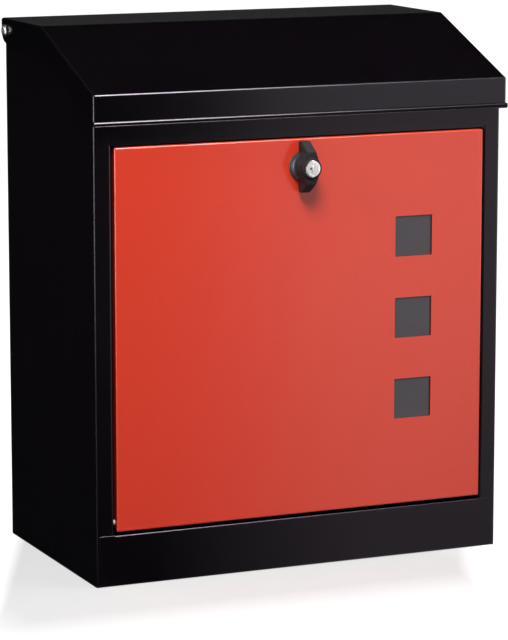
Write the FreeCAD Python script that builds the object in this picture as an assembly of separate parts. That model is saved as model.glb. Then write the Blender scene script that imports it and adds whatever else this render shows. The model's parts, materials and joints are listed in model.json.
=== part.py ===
import FreeCAD, Part
import math
import os
from FreeCAD import Vector

# Wall mounted post box, in millimetres: +Z is up and the front faces -Y.
# Sizes and functions take the case's front face as y = 0 and its underside as z = 0.

# Sheet
sheet = 0.8
bend = 1.0                      # inside radius of a bend
hem_bend = 0.4                  # inside radius of a folded hem
over = 1.0                      # how far a cut runs on past a face

# Case
case_width = 310.0
case_depth = 176.0
stile_width = 13.0
stile_return = 11.0             # how far the stile's inner edge folds back
stile_foot = 2.0                # stiles stop above the base tray's bend
rail_top = 336.0                # top of the front frame
front_hem = 9.0                 # its upper edge, folded down inside
corner_slit = 0.5               # between the folds at the opening's upper corners
ledge_drop = 1.5                # top of the back, below the lid's pivots
ledge_depth = 10.0
ledge_inset = 15.0              # from the side walls, clear of the pivot nuts
side_flange = 8.0               # inward fold along the top of each side
side_flange_leg = 6.0

# Pads pressed out of the back around the wall holes
wall_hole_radius = 3.25
wall_hole_spacing = 210.0       # across
wall_hole_rise = 250.0          # up
wall_hole_height = 70.0         # lower pair
pad_height = 6.0
pad_face_reach = 11.0           # from the hole to each of its eight sides
pad_base_reach = 16.0

# Lid
lid_overhang_side = 2.0
lid_overhang_front = 5.7
lid_overhang_back = 2.5
ear_overhang_back = 1.5
lid_top = 381.0
lid_lip_top = 342.0
lid_lip = 18.0                  # height of the lip above its rolled edge
lid_flat_depth = 83.0           # flat strip, from its fold to its rear edge
lid_side_round = 1.6
lid_rest_gap = 0.3              # between the lid and the top of the side walls
curl_radius = 1.6               # outside radius of the rolled lower edge
curl_turn = 265.0               # how far round the sheet is rolled, in degrees

# Lid pivots
pivot_inset = 7.5               # forward of the case's back
pivot_drop = 8.5                # below the top of the lid
ear_radius = 9.0
pivot_shoulder_radius = 2.5
pivot_thread_radius = 2.0
pivot_head_radius = 4.5
pivot_head_height = 2.6
pivot_head_rim = 1.0
pivot_head_top = 2.8            # radius of its flat top
pivot_slot = 0.8
pivot_play = 0.06               # running fit of the ear on the shoulder
pivot_side_play = 0.1
pivot_washer_radius = 5.0
pivot_nut_flats = 7.0
pivot_nut_height = 4.6
pivot_nut_bevel = 0.2
thread_clearance = 0.15

# Base tray
plinth_height = 36.0
plinth_inset = 2.0              # its ends, in from the case's sides
plinth_hem = 10.0
tray_upstand = 12.0
tray_play = 0.5                 # its hem, in from the stiles
drain_radius = 3.0
drain_inset_x = 35.0
drain_inset_y = 26.0

# Catch rail behind the front frame, above the door
rail_flange = 14.0
rail_lip = 9.0
rail_inset = 4.0                # its ends, in from the stiles
rail_leg_gap = 0.5              # its upper edge, below the frame's hem

# Door
door_gap_side = 2.0
door_gap_top = 2.0
door_gap_bottom = 3.5
door_top = 305.5
door_proud = 0.6
door_return = 11.0
door_corner = 1.5               # outside radius of its folds

# Door hinge pins
pin_radius = 1.5
pin_rise = 5.0                  # above the door's lower edge
pin_setback = 4.5               # behind the case's front
pin_play = 0.06
pin_seat_play = 0.02
pin_head_radius = 2.6
pin_head_height = 1.2
pin_end = 4.0                   # beyond the door's return
pin_bevel = 0.5
ring_radius = 3.0
ring_thickness = 0.6
ring_gap = 0.2

# Windows and their pane
window_size = 29.0
window_pitch = 58.5
window_count = 3
window_corner = 0.8
window_from_right = 53.0        # centre, from the door's right edge
window_middle = 173.5
pane_border = 9.0
pane_thickness = 2.0
clip_width = 12.0
clip_foot = 8.0
clip_overlap = 4.0
clip_inset = 10.0               # clips, in from the pane's ends

# Lock
lock_drop = 19.5                # below the door's upper edge
collar_radius = 10.4
collar_front_radius = 8.7
collar_height = 4.6
collar_rim = 1.2
barrel_radius = 8.0
barrel_flats = 13.5
barrel_length = 12.0            # behind the door's face sheet
barrel_clearance = 0.2
lock_washer_radius = 12.0
lock_washer_thickness = 1.0
lock_nut_flats = 21.0
lock_nut_height = 4.5
lock_nut_bevel = 1.0
lock_nut_play = 0.05
spindle_radius = 5.0
spindle_play = 0.05
spindle_seat = 3.6              # length held in the knob
spindle_seat_play = 0.02
spindle_square = 7.0
square_play = 0.05
knob_radius = 7.2
knob_base_radius = 7.7
knob_bevel = 0.7
knob_gap = 0.4                  # in front of the collar
knob_height = 12.0
wing_width = 7.1
wing_reach = 18.0
wing_tip = 4.0                  # its depth at the tip
wing_crest = 11.5               # where the slope to the tip starts
wing_below_hub = 1.4            # crest, behind the hub's front
wing_door_gap = 1.2
wing_crest_round = 1.5
wing_tip_round = 1.0
wing_bevel = 0.7                # along its sides
wing_root_width = 13.0          # where it spreads into the hub
wing_root_start = 2.5           # above the hub's centre
wing_root_end = 7.8
plug_radius = 5.75
plug_play = 0.05
plug_length = 7.6
plug_proud = 0.3
plug_bevel = 0.4
keyway_width = 1.5
keyway_height = 5.6
keyway_depth = 6.0

# Cam
cam_thickness = 2.0
cam_width = 15.0
cam_reach = 28.0
cam_corner = 3.0
cam_heel_corner = 7.4
cam_gap = 0.4                   # behind the catch rail's lip
cam_washer_radius = 6.0
cam_washer_thickness = 1.0
cam_screw_radius = 2.0
cam_screw_length = 10.0         # in the spindle
cam_head_radius = 4.2
cam_head_height = 2.8
cam_head_bevel = 0.6
socket_flats = 2.5
socket_depth = 1.6

# Places that follow from the sizes
half_width = case_width / 2
opening = half_width - stile_width
lid_half = half_width + lid_overhang_side
pivot_y = case_depth - pivot_inset
pivot_z = lid_top - pivot_drop
lid_back = case_depth + lid_overhang_back
fold_y = lid_back - lid_flat_depth
slope = math.atan2(lid_top - lid_lip_top, fold_y + lid_overhang_front)
lid_lip_bottom = lid_lip_top - lid_lip
lid_bend_outside = bend + sheet
door_bottom = plinth_height + door_gap_bottom
door_half = opening - door_gap_side
door_face = -door_proud
door_inside = door_face + sheet
rail_bottom = door_top + door_gap_top
pin_z = door_bottom + pin_rise
lock_z = door_top - lock_drop
window_x = door_half - window_from_right
collar_front = door_face - collar_height
knob_back = collar_front - knob_gap
knob_front = knob_back - knob_height
plug_front = knob_front - plug_proud
cam_front = rail_flange + cam_gap
cam_back = cam_front + cam_thickness
wall_plane = case_depth + pad_height
middle_y = (plug_front + wall_plane) / 2
hem_depth = 2 * (sheet + hem_bend)
stile_flat = opening + bend + sheet

PLANES = {
    "xy": lambda a, b, c: Vector(a, b, c),
    "yz": lambda a, b, c: Vector(c, a, b),
    "xz": lambda a, b, c: Vector(a, c, b),
}


def outline(points, radii, plane, level):
    """Closed wire through the points, each corner rounded by its radius."""
    at = PLANES[plane]
    corners = []
    count = len(points)
    for i, radius in enumerate(radii):
        here = at(*points[i], level)
        before = (at(*points[i - 1], level) - here).normalize()
        after = (at(*points[(i + 1) % count], level) - here).normalize()
        half = before.getAngle(after) / 2
        if radius <= 0 or math.pi / 2 - half < 1e-6:
            corners.append((here, None, here))
            continue
        reach = radius / math.tan(half)
        centre = here + (before + after).normalize() * (radius / math.sin(half))
        middle = centre + (here - centre).normalize() * radius
        corners.append((here + before * reach, middle, here + after * reach))
    edges = []
    for i, (start, middle, end) in enumerate(corners):
        if middle is not None:
            edges.append(Part.Arc(start, middle, end).toShape())
        following = corners[(i + 1) % count][0]
        if (following - end).Length > 1e-6:
            edges.append(Part.makeLine(end, following))
    return Part.Wire(edges)


def prism(points, plane, start, end, radii=0):
    """Solid with the outline's section, from start to end across its plane."""
    if not isinstance(radii, (list, tuple)):
        radii = [radii] * len(points)
    face = Part.Face(outline(points, radii, plane, start))
    return face.extrude(PLANES[plane](0, 0, end - start))


def band(path, inside, side=1):
    """Section of sheet whose outer face follows the path; side=1 puts the metal on its left."""
    points = [Vector(a, b, 0) for a, b in path]
    if not isinstance(inside, (list, tuple)):
        inside = [inside] * (len(path) - 2)
    normals = []
    for p, q in zip(points, points[1:]):
        run = (q - p).normalize()
        normals.append(Vector(-run.y, run.x, 0) * side)
    inner = [points[0] + normals[0] * sheet]
    outer_radii, inner_radii = [0], [0]
    for i, radius in enumerate(inside):
        first, second = normals[i], normals[i + 1]
        inner.append(points[i + 1] + (first + second) * (sheet / (1 + first.dot(second))))
        towards_metal = (points[i + 2] - points[i + 1]).dot(first) > 0
        outer_radii.append(radius + sheet if towards_metal else radius)
        inner_radii.append(radius if towards_metal else radius + sheet)
    inner.append(points[-1] + normals[-1] * sheet)
    outer_radii.append(0)
    inner_radii.append(0)
    both = [(p.x, p.y) for p in points] + [(p.x, p.y) for p in reversed(inner)]
    return both, outer_radii + inner_radii[::-1]


def folded(path, plane, start, end, inside=None, side=1):
    points, radii = band(path, bend if inside is None else inside, side)
    return prism(points, plane, start, end, radii)


def box(low, high):
    size = [b - a for a, b in zip(low, high)]
    return Part.makeBox(*size, Vector(*low))


def rod(radius, y_start, y_end, x=0.0, z=0.0):
    """Cylinder along Y."""
    return Part.makeCylinder(radius, y_end - y_start, Vector(x, y_start, z), Vector(0, 1, 0))


def cross_rod(radius, x_start, x_end, y, z):
    """Cylinder along X."""
    return Part.makeCylinder(radius, x_end - x_start, Vector(x_start, y, z), Vector(1, 0, 0))


def hexagon(flats, y_start, y_end, x=0.0, z=0.0):
    corner = flats / math.sqrt(3)
    turns = [math.radians(60 * k) for k in range(6)]
    points = [(x + corner * math.cos(a), z + corner * math.sin(a)) for a in turns]
    return prism(points, "xz", y_start, y_end)


def mirrored(shape):
    return shape.mirror(Vector(0, 0, 0), Vector(1, 0, 0))


def joined(first, *others):
    return first.fuse(list(others)).removeSplitter()


def side_profile():
    """Outline of a side wall under the lid, as (y, z) points with the rear corner round the pivot."""
    down = sheet + lid_rest_gap
    front = lid_lip_top + lid_overhang_front * math.tan(slope) - down / math.cos(slope)
    fold = fold_y + down * math.tan(slope / 2)
    corner = min(pivot_drop - down, pivot_inset)
    points = [(0, 0), (0, front), (fold, lid_top - down), (pivot_y + corner, lid_top - down),
              (pivot_y + corner, pivot_z), (case_depth, pivot_z), (case_depth, 0)]
    return points, [0, 0, bend, corner, 0, 0, 0]


def top_flange(length):
    """Inward fold along a straight run of a side's top edge, from y = 0 with its top at z = 0."""
    path = [(-half_width, -side_flange_leg), (-half_width, 0), (-half_width + side_flange, 0)]
    return folded(path, "xz", 0, length, side=-1)


def place_run(shape, y, z, angle):
    shape.rotate(Vector(0, 0, 0), Vector(1, 0, 0), math.degrees(angle))
    shape.translate(Vector(0, y, z))
    return shape


def side_top_runs():
    """Start y, start z, length and angle of each flanged run of a side's top edge."""
    points = side_profile()[0]
    (y0, z0), (y1, z1), (y2, z2) = points[1:4]
    end_gap = 2 * side_flange
    rise = math.atan2(z1 - z0, y1 - y0)
    sloped = math.hypot(y1 - y0, z1 - z0) - end_gap - side_flange / 2
    level = pivot_y - pivot_nut_flats - side_flange / 2 - (y1 + side_flange / 2)
    return [(y0 + end_gap * math.cos(rise), z0 + end_gap * math.sin(rise), sloped, rise),
            (y1 + side_flange / 2, z1, level, 0.0)]


def wall_pad(x, z):
    """Eight-sided pad to press out of the back, and the hollow to cut behind it."""
    path = [(2 * pad_base_reach, case_depth), (pad_base_reach, case_depth), (pad_face_reach, wall_plane),
            (0, wall_plane)]
    inner = band(path, 0)[0][:3:-1]
    pad = Part.makeLoft([octagon(x, z, *point) for point in path[1:3]], True, True)
    hollow = Part.makeLoft([octagon(x, z, *point) for point in inner[1:3]], True, True)
    return pad, [hollow, rod(wall_hole_radius, case_depth - over, wall_plane + over, x, z)]


def octagon(x, z, reach, y):
    corner = reach / math.cos(math.pi / 8)
    turns = [math.radians(22.5 + 45 * k) for k in range(8)]
    points = [(x + corner * math.cos(a), z + corner * math.sin(a)) for a in turns]
    return outline(points, [0] * 8, "xz", y)


def wall_holes():
    for x in (-wall_hole_spacing / 2, wall_hole_spacing / 2):
        for z in (wall_hole_height, wall_hole_height + wall_hole_rise):
            yield x, z


def case_shell():
    plan = [(-opening, stile_return), (-opening, 0), (-half_width, 0), (-half_width, case_depth),
            (half_width, case_depth), (half_width, 0), (opening, 0), (opening, stile_return)]
    points, radii = side_profile()
    wrap = folded(plan, "xy", 0, lid_top, side=-1)
    case = wrap.common(prism(points, "yz", -half_width, half_width, radii))
    inner = half_width - bend - sheet
    reach = stile_return + sheet
    case = case.cut([
        box((-inner, -sheet, rail_bottom + bend + sheet), (inner, reach, lid_top)),
        box((-stile_flat, -sheet, rail_bottom - corner_slit), (stile_flat, reach, lid_top)),
        box((-inner, -sheet, -sheet), (inner, reach, stile_foot)),
        box((-inner, case_depth - 2 * sheet, pivot_z - ledge_drop), (inner, case_depth + sheet, lid_top)),
    ])
    case = back_ledge(case.fuse(frame_head(inner)))
    for y, z, length, angle in side_top_runs():
        notch = box((-half_width - sheet, 0, -bend - sheet), (-half_width + 2 * sheet, length, sheet))
        notch = place_run(notch, y, z, angle)
        flange = place_run(top_flange(length), y, z, angle)
        case = case.cut([notch, mirrored(notch)]).fuse([flange, mirrored(flange)])
    for x, z in wall_holes():
        pad, hollows = wall_pad(x, z)
        case = case.fuse(pad).cut(hollows)
    pivot_hole = cross_rod(pivot_thread_radius + thread_clearance, half_width - 2 * sheet, lid_half,
                           pivot_y, pivot_z)
    pin_hole = cross_rod(pin_radius + pin_seat_play, opening - sheet, opening + 2 * sheet,
                         pin_setback, pin_z)
    return case.cut([pivot_hole, mirrored(pivot_hole), pin_hole, mirrored(pin_hole)]).removeSplitter()


def frame_head(reach):
    """Head of the front frame: hemmed along its top and folded back along the opening."""
    hem = [(hem_depth, rail_top - front_hem), (hem_depth, rail_top), (0, rail_top)]
    flat_end = rail_bottom + bend + sheet
    across = folded(hem + [(0, flat_end)], "yz", -reach, reach, hem_bend)
    corner = box((opening, 0, rail_bottom), (stile_flat, sheet, flat_end))
    edge = [(0, flat_end), (0, rail_bottom), (stile_return, rail_bottom)]
    length = opening - corner_slit
    return across.fuse([corner, mirrored(corner), folded(edge, "yz", -length, length)])


def back_ledge(case):
    """The back's upper edge, folded forward to stiffen it."""
    top = pivot_z - ledge_drop
    end = half_width - ledge_inset
    room = box((-end, case_depth - 2 * sheet, top - bend - sheet), (end, case_depth + sheet, top + sheet))
    path = [(case_depth, top - side_flange_leg), (case_depth, top), (case_depth - ledge_depth, top)]
    return case.cut(room).fuse(folded(path, "yz", -end, end, side=1))


def top_rail():
    """Channel behind the front frame's head; the cam catches behind its lip."""
    floor = rail_bottom + sheet
    section = [(sheet, rail_top - front_hem - rail_leg_gap), (sheet, floor), (rail_flange, floor),
               (rail_flange, floor + rail_lip)]
    length = opening - rail_inset
    return folded(section, "yz", -length, length)


def base_tray():
    front, back = -sheet, case_depth - sheet
    plinth_end = half_width - plinth_inset
    hem_end = opening - tray_play
    hem_back = front + hem_depth
    plain = [(back, tray_upstand), (back, 0), (front, 0), (front, plinth_height)]
    hemmed = plain + [(hem_back, plinth_height), (hem_back, plinth_height - plinth_hem)]
    inner = half_width - sheet
    across = [(-inner, tray_upstand), (-inner, 0), (inner, 0), (inner, tray_upstand)]
    corner = bend + 2 * sheet
    tray = joined(
        folded(plain, "yz", -plinth_end, -hem_end, side=-1),
        folded(hemmed, "yz", -hem_end, hem_end, [bend, bend, hem_bend, hem_bend], side=-1),
        folded(plain, "yz", hem_end, plinth_end, side=-1),
        folded(across, "xz", corner, back - corner),
    )
    drains = [rod_up(drain_radius, x, y) for x in (-inner + drain_inset_x, inner - drain_inset_x)
              for y in (drain_inset_y, back - drain_inset_y)]
    return tray.cut(drains)


def rod_up(radius, x, y):
    return Part.makeCylinder(radius, 3 * sheet, Vector(x, y, -sheet))


def lid_cover(inset):
    """Closed body of the lid's outer faces, moved in by the inset, open ended below and behind."""
    shift = inset * math.tan(slope / 2)
    front = -lid_overhang_front + inset
    lip = lid_lip_top + inset * math.tan(slope) - inset / math.cos(slope)
    below = lid_lip_bottom - 4 * lid_lip
    behind = lid_back + 2 * inset
    points = [(front, below), (front, lip), (fold_y + shift, lid_top - inset), (behind, lid_top - inset),
              (behind, below)]
    radius = lid_bend_outside - inset
    half = lid_half - inset
    body = prism(points, "yz", -half, half, [0, radius, radius, 0, 0])
    rounded = [e for e in body.Edges if at_side_top(e, half, front, below)]
    return body.makeFillet(lid_side_round - inset, rounded)


def at_side_top(edge, half, front, below):
    """True for the edges where the top, slope and lip meet the sides."""
    centre = edge.CenterOfMass
    on_side = abs(abs(centre.x) - half) < 1e-4
    return on_side and centre.z > below + over and (centre.z > lid_lip_top - 2 * lid_bend_outside
                                                 or abs(centre.y - front) < 1e-4)


def lid():
    cover = lid_cover(0)
    hollow = lid_cover(sheet)
    ear_back = case_depth + ear_overhang_back
    ear_low = pivot_z - ear_radius
    fold_low = fold_y + lid_lip * math.tan(slope / 2)
    front = -lid_overhang_front - curl_radius
    keep = prism([(front, lid_lip_bottom), (front, lid_top), (ear_back, lid_top), (ear_back, ear_low),
                  (fold_low, ear_low), (-lid_overhang_front + bend + sheet, lid_lip_bottom)],
                 "yz", -lid_half, lid_half, [0, 0, 0, ear_radius, bend, bend])
    inner = lid_half - lid_side_round
    tail = box((-inner, ear_back, lid_top - sheet), (inner, lid_back, lid_top))
    shell = cover.cut(hollow).common(keep)
    body = joined(shell, tail, curl())
    holes = cross_rod(pivot_shoulder_radius + pivot_play, -lid_half - sheet, lid_half + sheet,
                      pivot_y, pivot_z)
    return body.cut(holes)


def curl():
    """Rolled lower edge of the lip: the sheet turns forward and up into a bead."""
    centre_y = -lid_overhang_front + sheet - curl_radius
    centre_z = lid_lip_bottom - curl_radius
    hole = curl_radius - sheet

    def at(radius, degrees):
        a = math.radians(degrees)
        return Vector(0, centre_y + radius * math.cos(a), centre_z + radius * math.sin(a))

    stop = -curl_turn
    outer = Part.Arc(at(curl_radius, 0), at(curl_radius, stop / 2), at(curl_radius, stop)).toShape()
    inner = Part.Arc(at(hole, stop), at(hole, stop / 2), at(hole, 0)).toShape()
    up_outer = at(curl_radius, 0) + Vector(0, 0, curl_radius)
    up_inner = at(hole, 0) + Vector(0, 0, curl_radius)
    wire = Part.Wire([
        outer, Part.makeLine(at(curl_radius, stop), at(hole, stop)), inner,
        Part.makeLine(at(hole, 0), up_inner), Part.makeLine(up_inner, up_outer),
        Part.makeLine(up_outer, at(curl_radius, 0))])
    section = Part.Face(wire)
    section.translate(Vector(-lid_half, 0, 0))
    return section.extrude(Vector(2 * lid_half, 0, 0))


def door_pan(inset):
    """Rounded block of the door's outer faces, moved in by the inset."""
    block = box((-door_half + inset, door_face + inset, door_bottom + inset),
                (door_half - inset, door_face + door_return + 2 * inset, door_top - inset))
    rear = door_face + door_return + 2 * inset
    edges = [e for e in block.Edges if e.CenterOfMass.y < rear - 1e-4]
    return block.makeFillet(door_corner - inset, edges)


def door_panel():
    pan = door_pan(0).cut(door_pan(sheet))
    half = window_size / 2
    for z in window_heights():
        square = [(window_x - half, z - half), (window_x + half, z - half),
                  (window_x + half, z + half), (window_x - half, z + half)]
        pan = pan.cut(prism(square, "xz", door_face - sheet, door_inside + sheet, window_corner))
    hole = flatted(barrel_radius + barrel_clearance, barrel_flats + 2 * barrel_clearance,
                   door_face - sheet, door_inside + sheet)
    pins = cross_rod(pin_radius + pin_play, -door_half - sheet, door_half + sheet, pin_setback, pin_z)
    return pan.cut([hole, pins])


def window_heights():
    first = window_middle - window_pitch * (window_count - 1) / 2
    return [first + window_pitch * k for k in range(window_count)]


def flatted(radius, flats, y_start, y_end):
    """Round bar along Y with two upright flats, on the lock's axis."""
    bar = rod(radius, y_start, y_end, 0, lock_z)
    return bar.common(box((-flats / 2, y_start, lock_z - radius), (flats / 2, y_end, lock_z + radius)))


def pane_edges():
    heights = window_heights()
    reach = window_size / 2 + pane_border
    return window_x - reach, window_x + reach, heights[0] - reach, heights[-1] + reach


def window_pane():
    left, right, low, high = pane_edges()
    square = [(left, low), (right, low), (right, high), (left, high)]
    return prism(square, "xz", door_inside, door_inside + pane_thickness, 2 * window_corner)


def pane_clip(side, end):
    """Cranked clip with its foot on the door and its tongue over the pane's edge."""
    left, right, low, high = pane_edges()
    edge = left if side < 0 else right
    z = low + clip_inset if end < 0 else high - clip_inset - clip_width
    front, back = door_inside, door_inside + pane_thickness + sheet
    path = [(edge + side * (clip_foot + sheet), front + sheet), (edge + side * 2 * sheet, front + sheet),
            (edge + side * 2 * sheet, back), (edge - side * clip_overlap, back)]
    return folded(path, "xy", z, z + clip_width, hem_bend, side=-side if side > 0 else 1)


def door_pin(side):
    inner = opening + sheet
    end = door_half - sheet - pin_end
    head = cross_rod(pin_head_radius, inner, inner + pin_head_height, pin_setback, pin_z)
    shank = cross_rod(pin_radius, end, inner + pin_head_height / 2, pin_setback, pin_z)
    tip = [e for e in shank.Edges if abs(e.CenterOfMass.x - end) < 1e-4 and e.Closed]
    pin = joined(shank.makeChamfer(pin_bevel, tip), head)
    return pin if side > 0 else mirrored(pin)


def pin_ring(side):
    """Dished push-on ring that keeps the door from sliding along its pin."""
    outer = door_half - sheet - ring_gap
    rise = ring_thickness
    profile = [(pin_radius, outer - 2 * rise), (ring_radius, outer - rise), (ring_radius, outer),
               (pin_radius, outer - rise)]
    face = Part.Face(outline([(x, r) for r, x in profile], [0, 0, 0, 0], "xy", 0))
    ring = face.revolve(Vector(0, 0, 0), Vector(1, 0, 0), 360)
    ring.translate(Vector(0, pin_setback, pin_z))
    return ring if side > 0 else mirrored(ring)


def pivot_screw(side):
    """Shouldered screw with a raised head; the lid's ear turns on its shoulder."""
    seat = lid_half + pivot_side_play
    end = half_width - sheet - pivot_nut_height - pivot_thread_radius / 2
    profile = [(seat, 0), (seat, pivot_head_radius), (seat + pivot_head_rim, pivot_head_radius),
               (seat + pivot_head_height, pivot_head_top), (seat + pivot_head_height, 0)]
    head = Part.Face(outline(profile, [0] * len(profile), "xy", 0))
    head = head.revolve(Vector(0, 0, 0), Vector(1, 0, 0), 360)
    head.translate(Vector(0, pivot_y, pivot_z))
    slot = box((seat + pivot_head_height / 2, pivot_y - pivot_head_radius, pivot_z - pivot_slot / 2),
               (seat + 2 * pivot_head_height, pivot_y + pivot_head_radius, pivot_z + pivot_slot / 2))
    shoulder = cross_rod(pivot_shoulder_radius, half_width, seat, pivot_y, pivot_z)
    thread = cross_rod(pivot_thread_radius, end, half_width, pivot_y, pivot_z)
    screw = joined(head.cut(slot), shoulder, thread)
    return screw if side > 0 else mirrored(screw)


def pivot_washer(side):
    thickness = lid_overhang_side - sheet - pivot_side_play
    start = half_width
    disc = cross_rod(pivot_washer_radius, start, start + thickness, pivot_y, pivot_z)
    bore = cross_rod(pivot_shoulder_radius + pivot_play, start, start + thickness, pivot_y, pivot_z)
    washer = disc.cut(bore)
    return washer if side > 0 else mirrored(washer)


def pivot_nut(side):
    face = half_width - sheet
    nut = hexagon(pivot_nut_flats, 0, pivot_nut_height)
    nut = nut.cut(rod(pivot_thread_radius, -over, pivot_nut_height + over))
    tip = pivot_nut_flats / 2 - pivot_nut_bevel
    cone = Part.makeCone(tip, tip + 2 * pivot_nut_height, 2 * pivot_nut_height,
                         Vector(0, pivot_nut_height, 0), Vector(0, -1, 0))
    nut = nut.common(cone)
    nut.rotate(Vector(0, 0, 0), Vector(0, 0, 1), 90)
    nut.translate(Vector(face, pivot_y, pivot_z))
    return nut if side > 0 else mirrored(nut)


def turned(profile):
    """Solid turned about the lock's axis from (radius, y) points."""
    face = Part.Face(outline(profile, [0] * len(profile), "xy", 0))
    body = face.revolve(Vector(0, 0, 0), Vector(0, 1, 0), 360)
    body.translate(Vector(0, 0, lock_z))
    return body


def lock_housing():
    """Collar in front of the door and threaded barrel behind it, in one casting."""
    flange = turned([(0, door_face), (collar_radius, door_face), (collar_radius, door_face - collar_rim),
                     (collar_front_radius, collar_front), (0, collar_front)])
    barrel = flatted(barrel_radius, barrel_flats, door_face, door_inside + barrel_length)
    bore = rod(spindle_radius + spindle_play, collar_front - over, door_inside + barrel_length + over,
               0, lock_z)
    return joined(flange, barrel).cut(bore)


def lock_washer():
    thickness = lock_washer_thickness
    disc = rod(lock_washer_radius, door_inside, door_inside + thickness, 0, lock_z)
    return disc.cut(rod(barrel_radius + barrel_clearance, door_inside, door_inside + thickness, 0, lock_z))


def lock_nut():
    start = door_inside + lock_washer_thickness
    end = start + lock_nut_height
    nut = hexagon(lock_nut_flats, start, end, 0, lock_z)
    wide = lock_nut_flats / math.sqrt(3)
    bevel = turned([(0, start), (wide, start), (wide, end - lock_nut_bevel), (lock_nut_flats / 2, end),
                    (0, end)])
    return nut.common(bevel).cut(rod(barrel_radius + lock_nut_play, start, end, 0, lock_z))


def wing():
    """Upper wing of the knob, as wide as the hub where it starts."""
    crest = knob_front + wing_below_hub
    foot = door_face - wing_door_gap
    clear = lock_z + collar_radius + knob_gap
    low, high = lock_z + wing_root_start, lock_z + wing_reach
    side = [(crest, low), (crest, lock_z + wing_crest), (foot - wing_tip, high), (foot, high),
            (foot, clear), (knob_back, clear), (knob_back, low)]
    radii = [0, wing_crest_round, wing_tip_round, 0, 0, 0, 0]
    half, root = wing_width / 2, wing_root_width / 2
    spread = lock_z + wing_root_end
    plan = [(-root, low), (root, low), (half, spread), (half, high), (-half, high), (-half, spread)]
    body = prism(side, "yz", -root, root, radii).common(
        prism(plan, "xz", crest - over, foot + over))
    front = [e for e in body.Edges if abs(e.CenterOfMass.x) > half - 1e-4 and e.CenterOfMass.z > low + 1e-4
             and e.CenterOfMass.y < foot - wing_tip / 2 and e.BoundBox.YLength < e.Length - 1e-4]
    return body.makeChamfer(wing_bevel, front)


def wing_knob():
    hub = turned([(0, knob_back), (knob_base_radius, knob_back), (knob_radius, knob_front + knob_bevel),
                  (knob_radius - knob_bevel, knob_front), (0, knob_front)])
    upper = wing()
    lower = upper.copy()
    lower.rotate(Vector(0, 0, lock_z), Vector(0, 1, 0), 180)
    knob = joined(hub, upper, lower)
    plug_hole = rod(plug_radius + plug_play, knob_front - over, plug_front + plug_length, 0, lock_z)
    seat = rod(spindle_radius + spindle_seat_play, knob_back - spindle_seat, knob_back + over, 0, lock_z)
    return knob.cut([plug_hole, seat])


def knob_spindle():
    start = knob_back - spindle_seat
    round_part = rod(spindle_radius, start, cam_front, 0, lock_z)
    half = spindle_square / 2
    square = box((-half, cam_front, lock_z - half), (half, cam_back - square_play, lock_z + half))
    tapped = rod(cam_screw_radius, cam_back - square_play - cam_screw_length, cam_back, 0, lock_z)
    return joined(round_part, square).cut(tapped)


def key_plug():
    back = plug_front + plug_length
    plug = turned([(0, back), (plug_radius, back), (plug_radius, plug_front + plug_bevel),
                   (plug_radius - plug_bevel, plug_front), (0, plug_front)])
    half_w, half_h = keyway_width / 2, keyway_height / 2
    slot = [(-half_w, lock_z - half_h), (half_w, lock_z - half_h),
            (half_w, lock_z + half_h), (-half_w, lock_z + half_h)]
    return plug.cut(prism(slot, "xz", plug_front - over, plug_front + keyway_depth, keyway_width / 3))


def cam():
    """Flat strip on the spindle's square; a quarter turn brings it up behind the catch rail."""
    half = cam_width / 2
    strip = [(-cam_reach, lock_z - half), (half, lock_z - half), (half, lock_z + half),
             (-cam_reach, lock_z + half)]
    radii = [cam_corner, cam_heel_corner, cam_heel_corner, cam_corner]
    blade = prism(strip, "xz", cam_front, cam_back, radii)
    hole = spindle_square / 2 + square_play
    return blade.cut(box((-hole, cam_front - over, lock_z - hole), (hole, cam_back + over, lock_z + hole)))


def cam_washer():
    end = cam_back + cam_washer_thickness
    disc = rod(cam_washer_radius, cam_back, end, 0, lock_z)
    return disc.cut(rod(cam_screw_radius + thread_clearance, cam_back, end, 0, lock_z))


def cam_screw():
    seat = cam_back + cam_washer_thickness
    end = seat + cam_head_height
    head = turned([(0, seat), (cam_head_radius, seat), (cam_head_radius, end - cam_head_bevel),
                   (cam_head_radius - cam_head_bevel, end), (0, end)])
    shank = rod(cam_screw_radius, cam_back - cam_screw_length, seat + over, 0, lock_z)
    socket = hexagon(socket_flats, end - socket_depth, end + over, 0, lock_z)
    return joined(head, shank).cut(socket)


def build():
    nodes = {
        "case_shell": case_shell(),
        "top_rail": top_rail(),
        "base_tray": base_tray(),
        "lid": lid(),
        "door_panel": door_panel(),
        "window_pane": window_pane(),
        "lock_housing": lock_housing(),
        "lock_washer": lock_washer(),
        "lock_nut": lock_nut(),
        "wing_knob": wing_knob(),
        "knob_spindle": knob_spindle(),
        "key_plug": key_plug(),
        "cam": cam(),
        "cam_washer": cam_washer(),
        "cam_screw": cam_screw(),
    }
    for name, side in (("left", -1), ("right", 1)):
        nodes["door_pin_" + name] = door_pin(side)
        nodes["pin_ring_" + name] = pin_ring(side)
        nodes["pivot_screw_" + name] = pivot_screw(side)
        nodes["pivot_washer_" + name] = pivot_washer(side)
        nodes["pivot_nut_" + name] = pivot_nut(side)
        for place, end in (("lower", -1), ("upper", 1)):
            nodes["pane_clip_" + name + "_" + place] = pane_clip(side, end)
    return nodes


os.makedirs("parts", exist_ok=True)
for name, shape in build().items():
    if len(shape.Solids) != 1 or not shape.isValid():
        raise ValueError(name + " is not one sound solid")
    solid = shape.Solids[0]
    solid.translate(Vector(0, -middle_y, 0))
    solid.exportStep("parts/" + name + ".step")
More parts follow.
